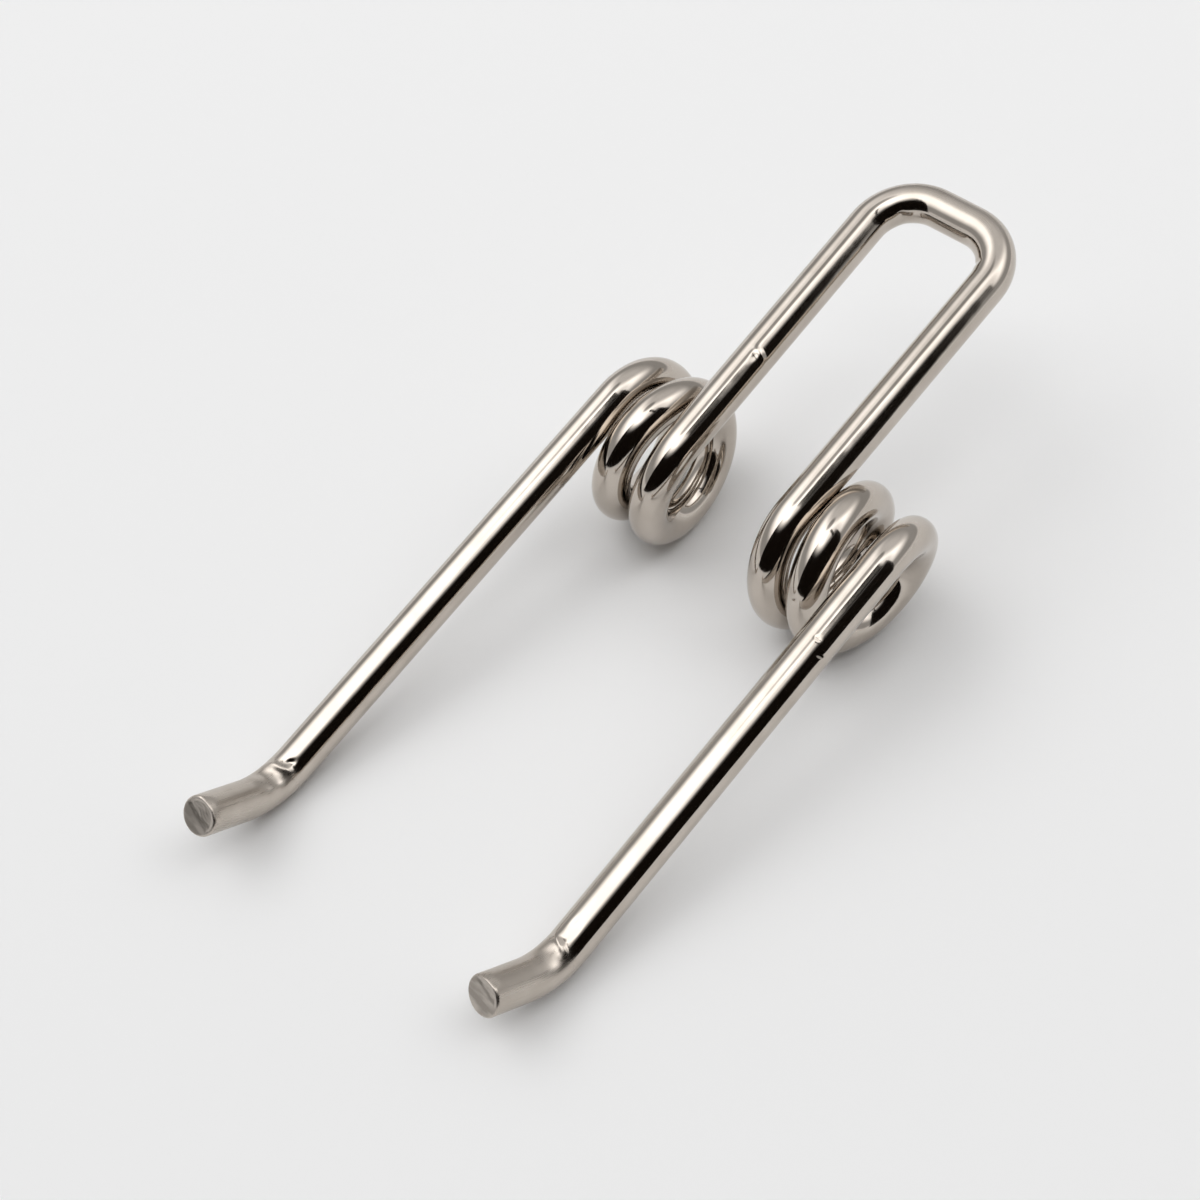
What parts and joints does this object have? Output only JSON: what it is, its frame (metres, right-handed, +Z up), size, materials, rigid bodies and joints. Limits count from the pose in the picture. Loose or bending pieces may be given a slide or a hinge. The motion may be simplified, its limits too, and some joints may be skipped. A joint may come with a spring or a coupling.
{
  "type": "double torsion spring",
  "caption": "Double torsion spring of round nickel-plated wire: a centre loop, a close coil on each side and straight outer legs with bent-up ends.",
  "frame": {"origin": "centre of the bounding box on the surface that the spring lies on", "axes": "+X towards the centre loop, which is raised, and -X towards the outer legs; +Y along the coil axis towards the coil with the longer outer leg; +Z up from the surface it lies on"},
  "size_m": [0.0714, 0.0286, 0.0202],
  "materials": {
    "nickel_wire": "polished"
  },
  "bodies": {
    "root": {"spring_wire": "nickel_wire"}
  },
  "joints": []
}
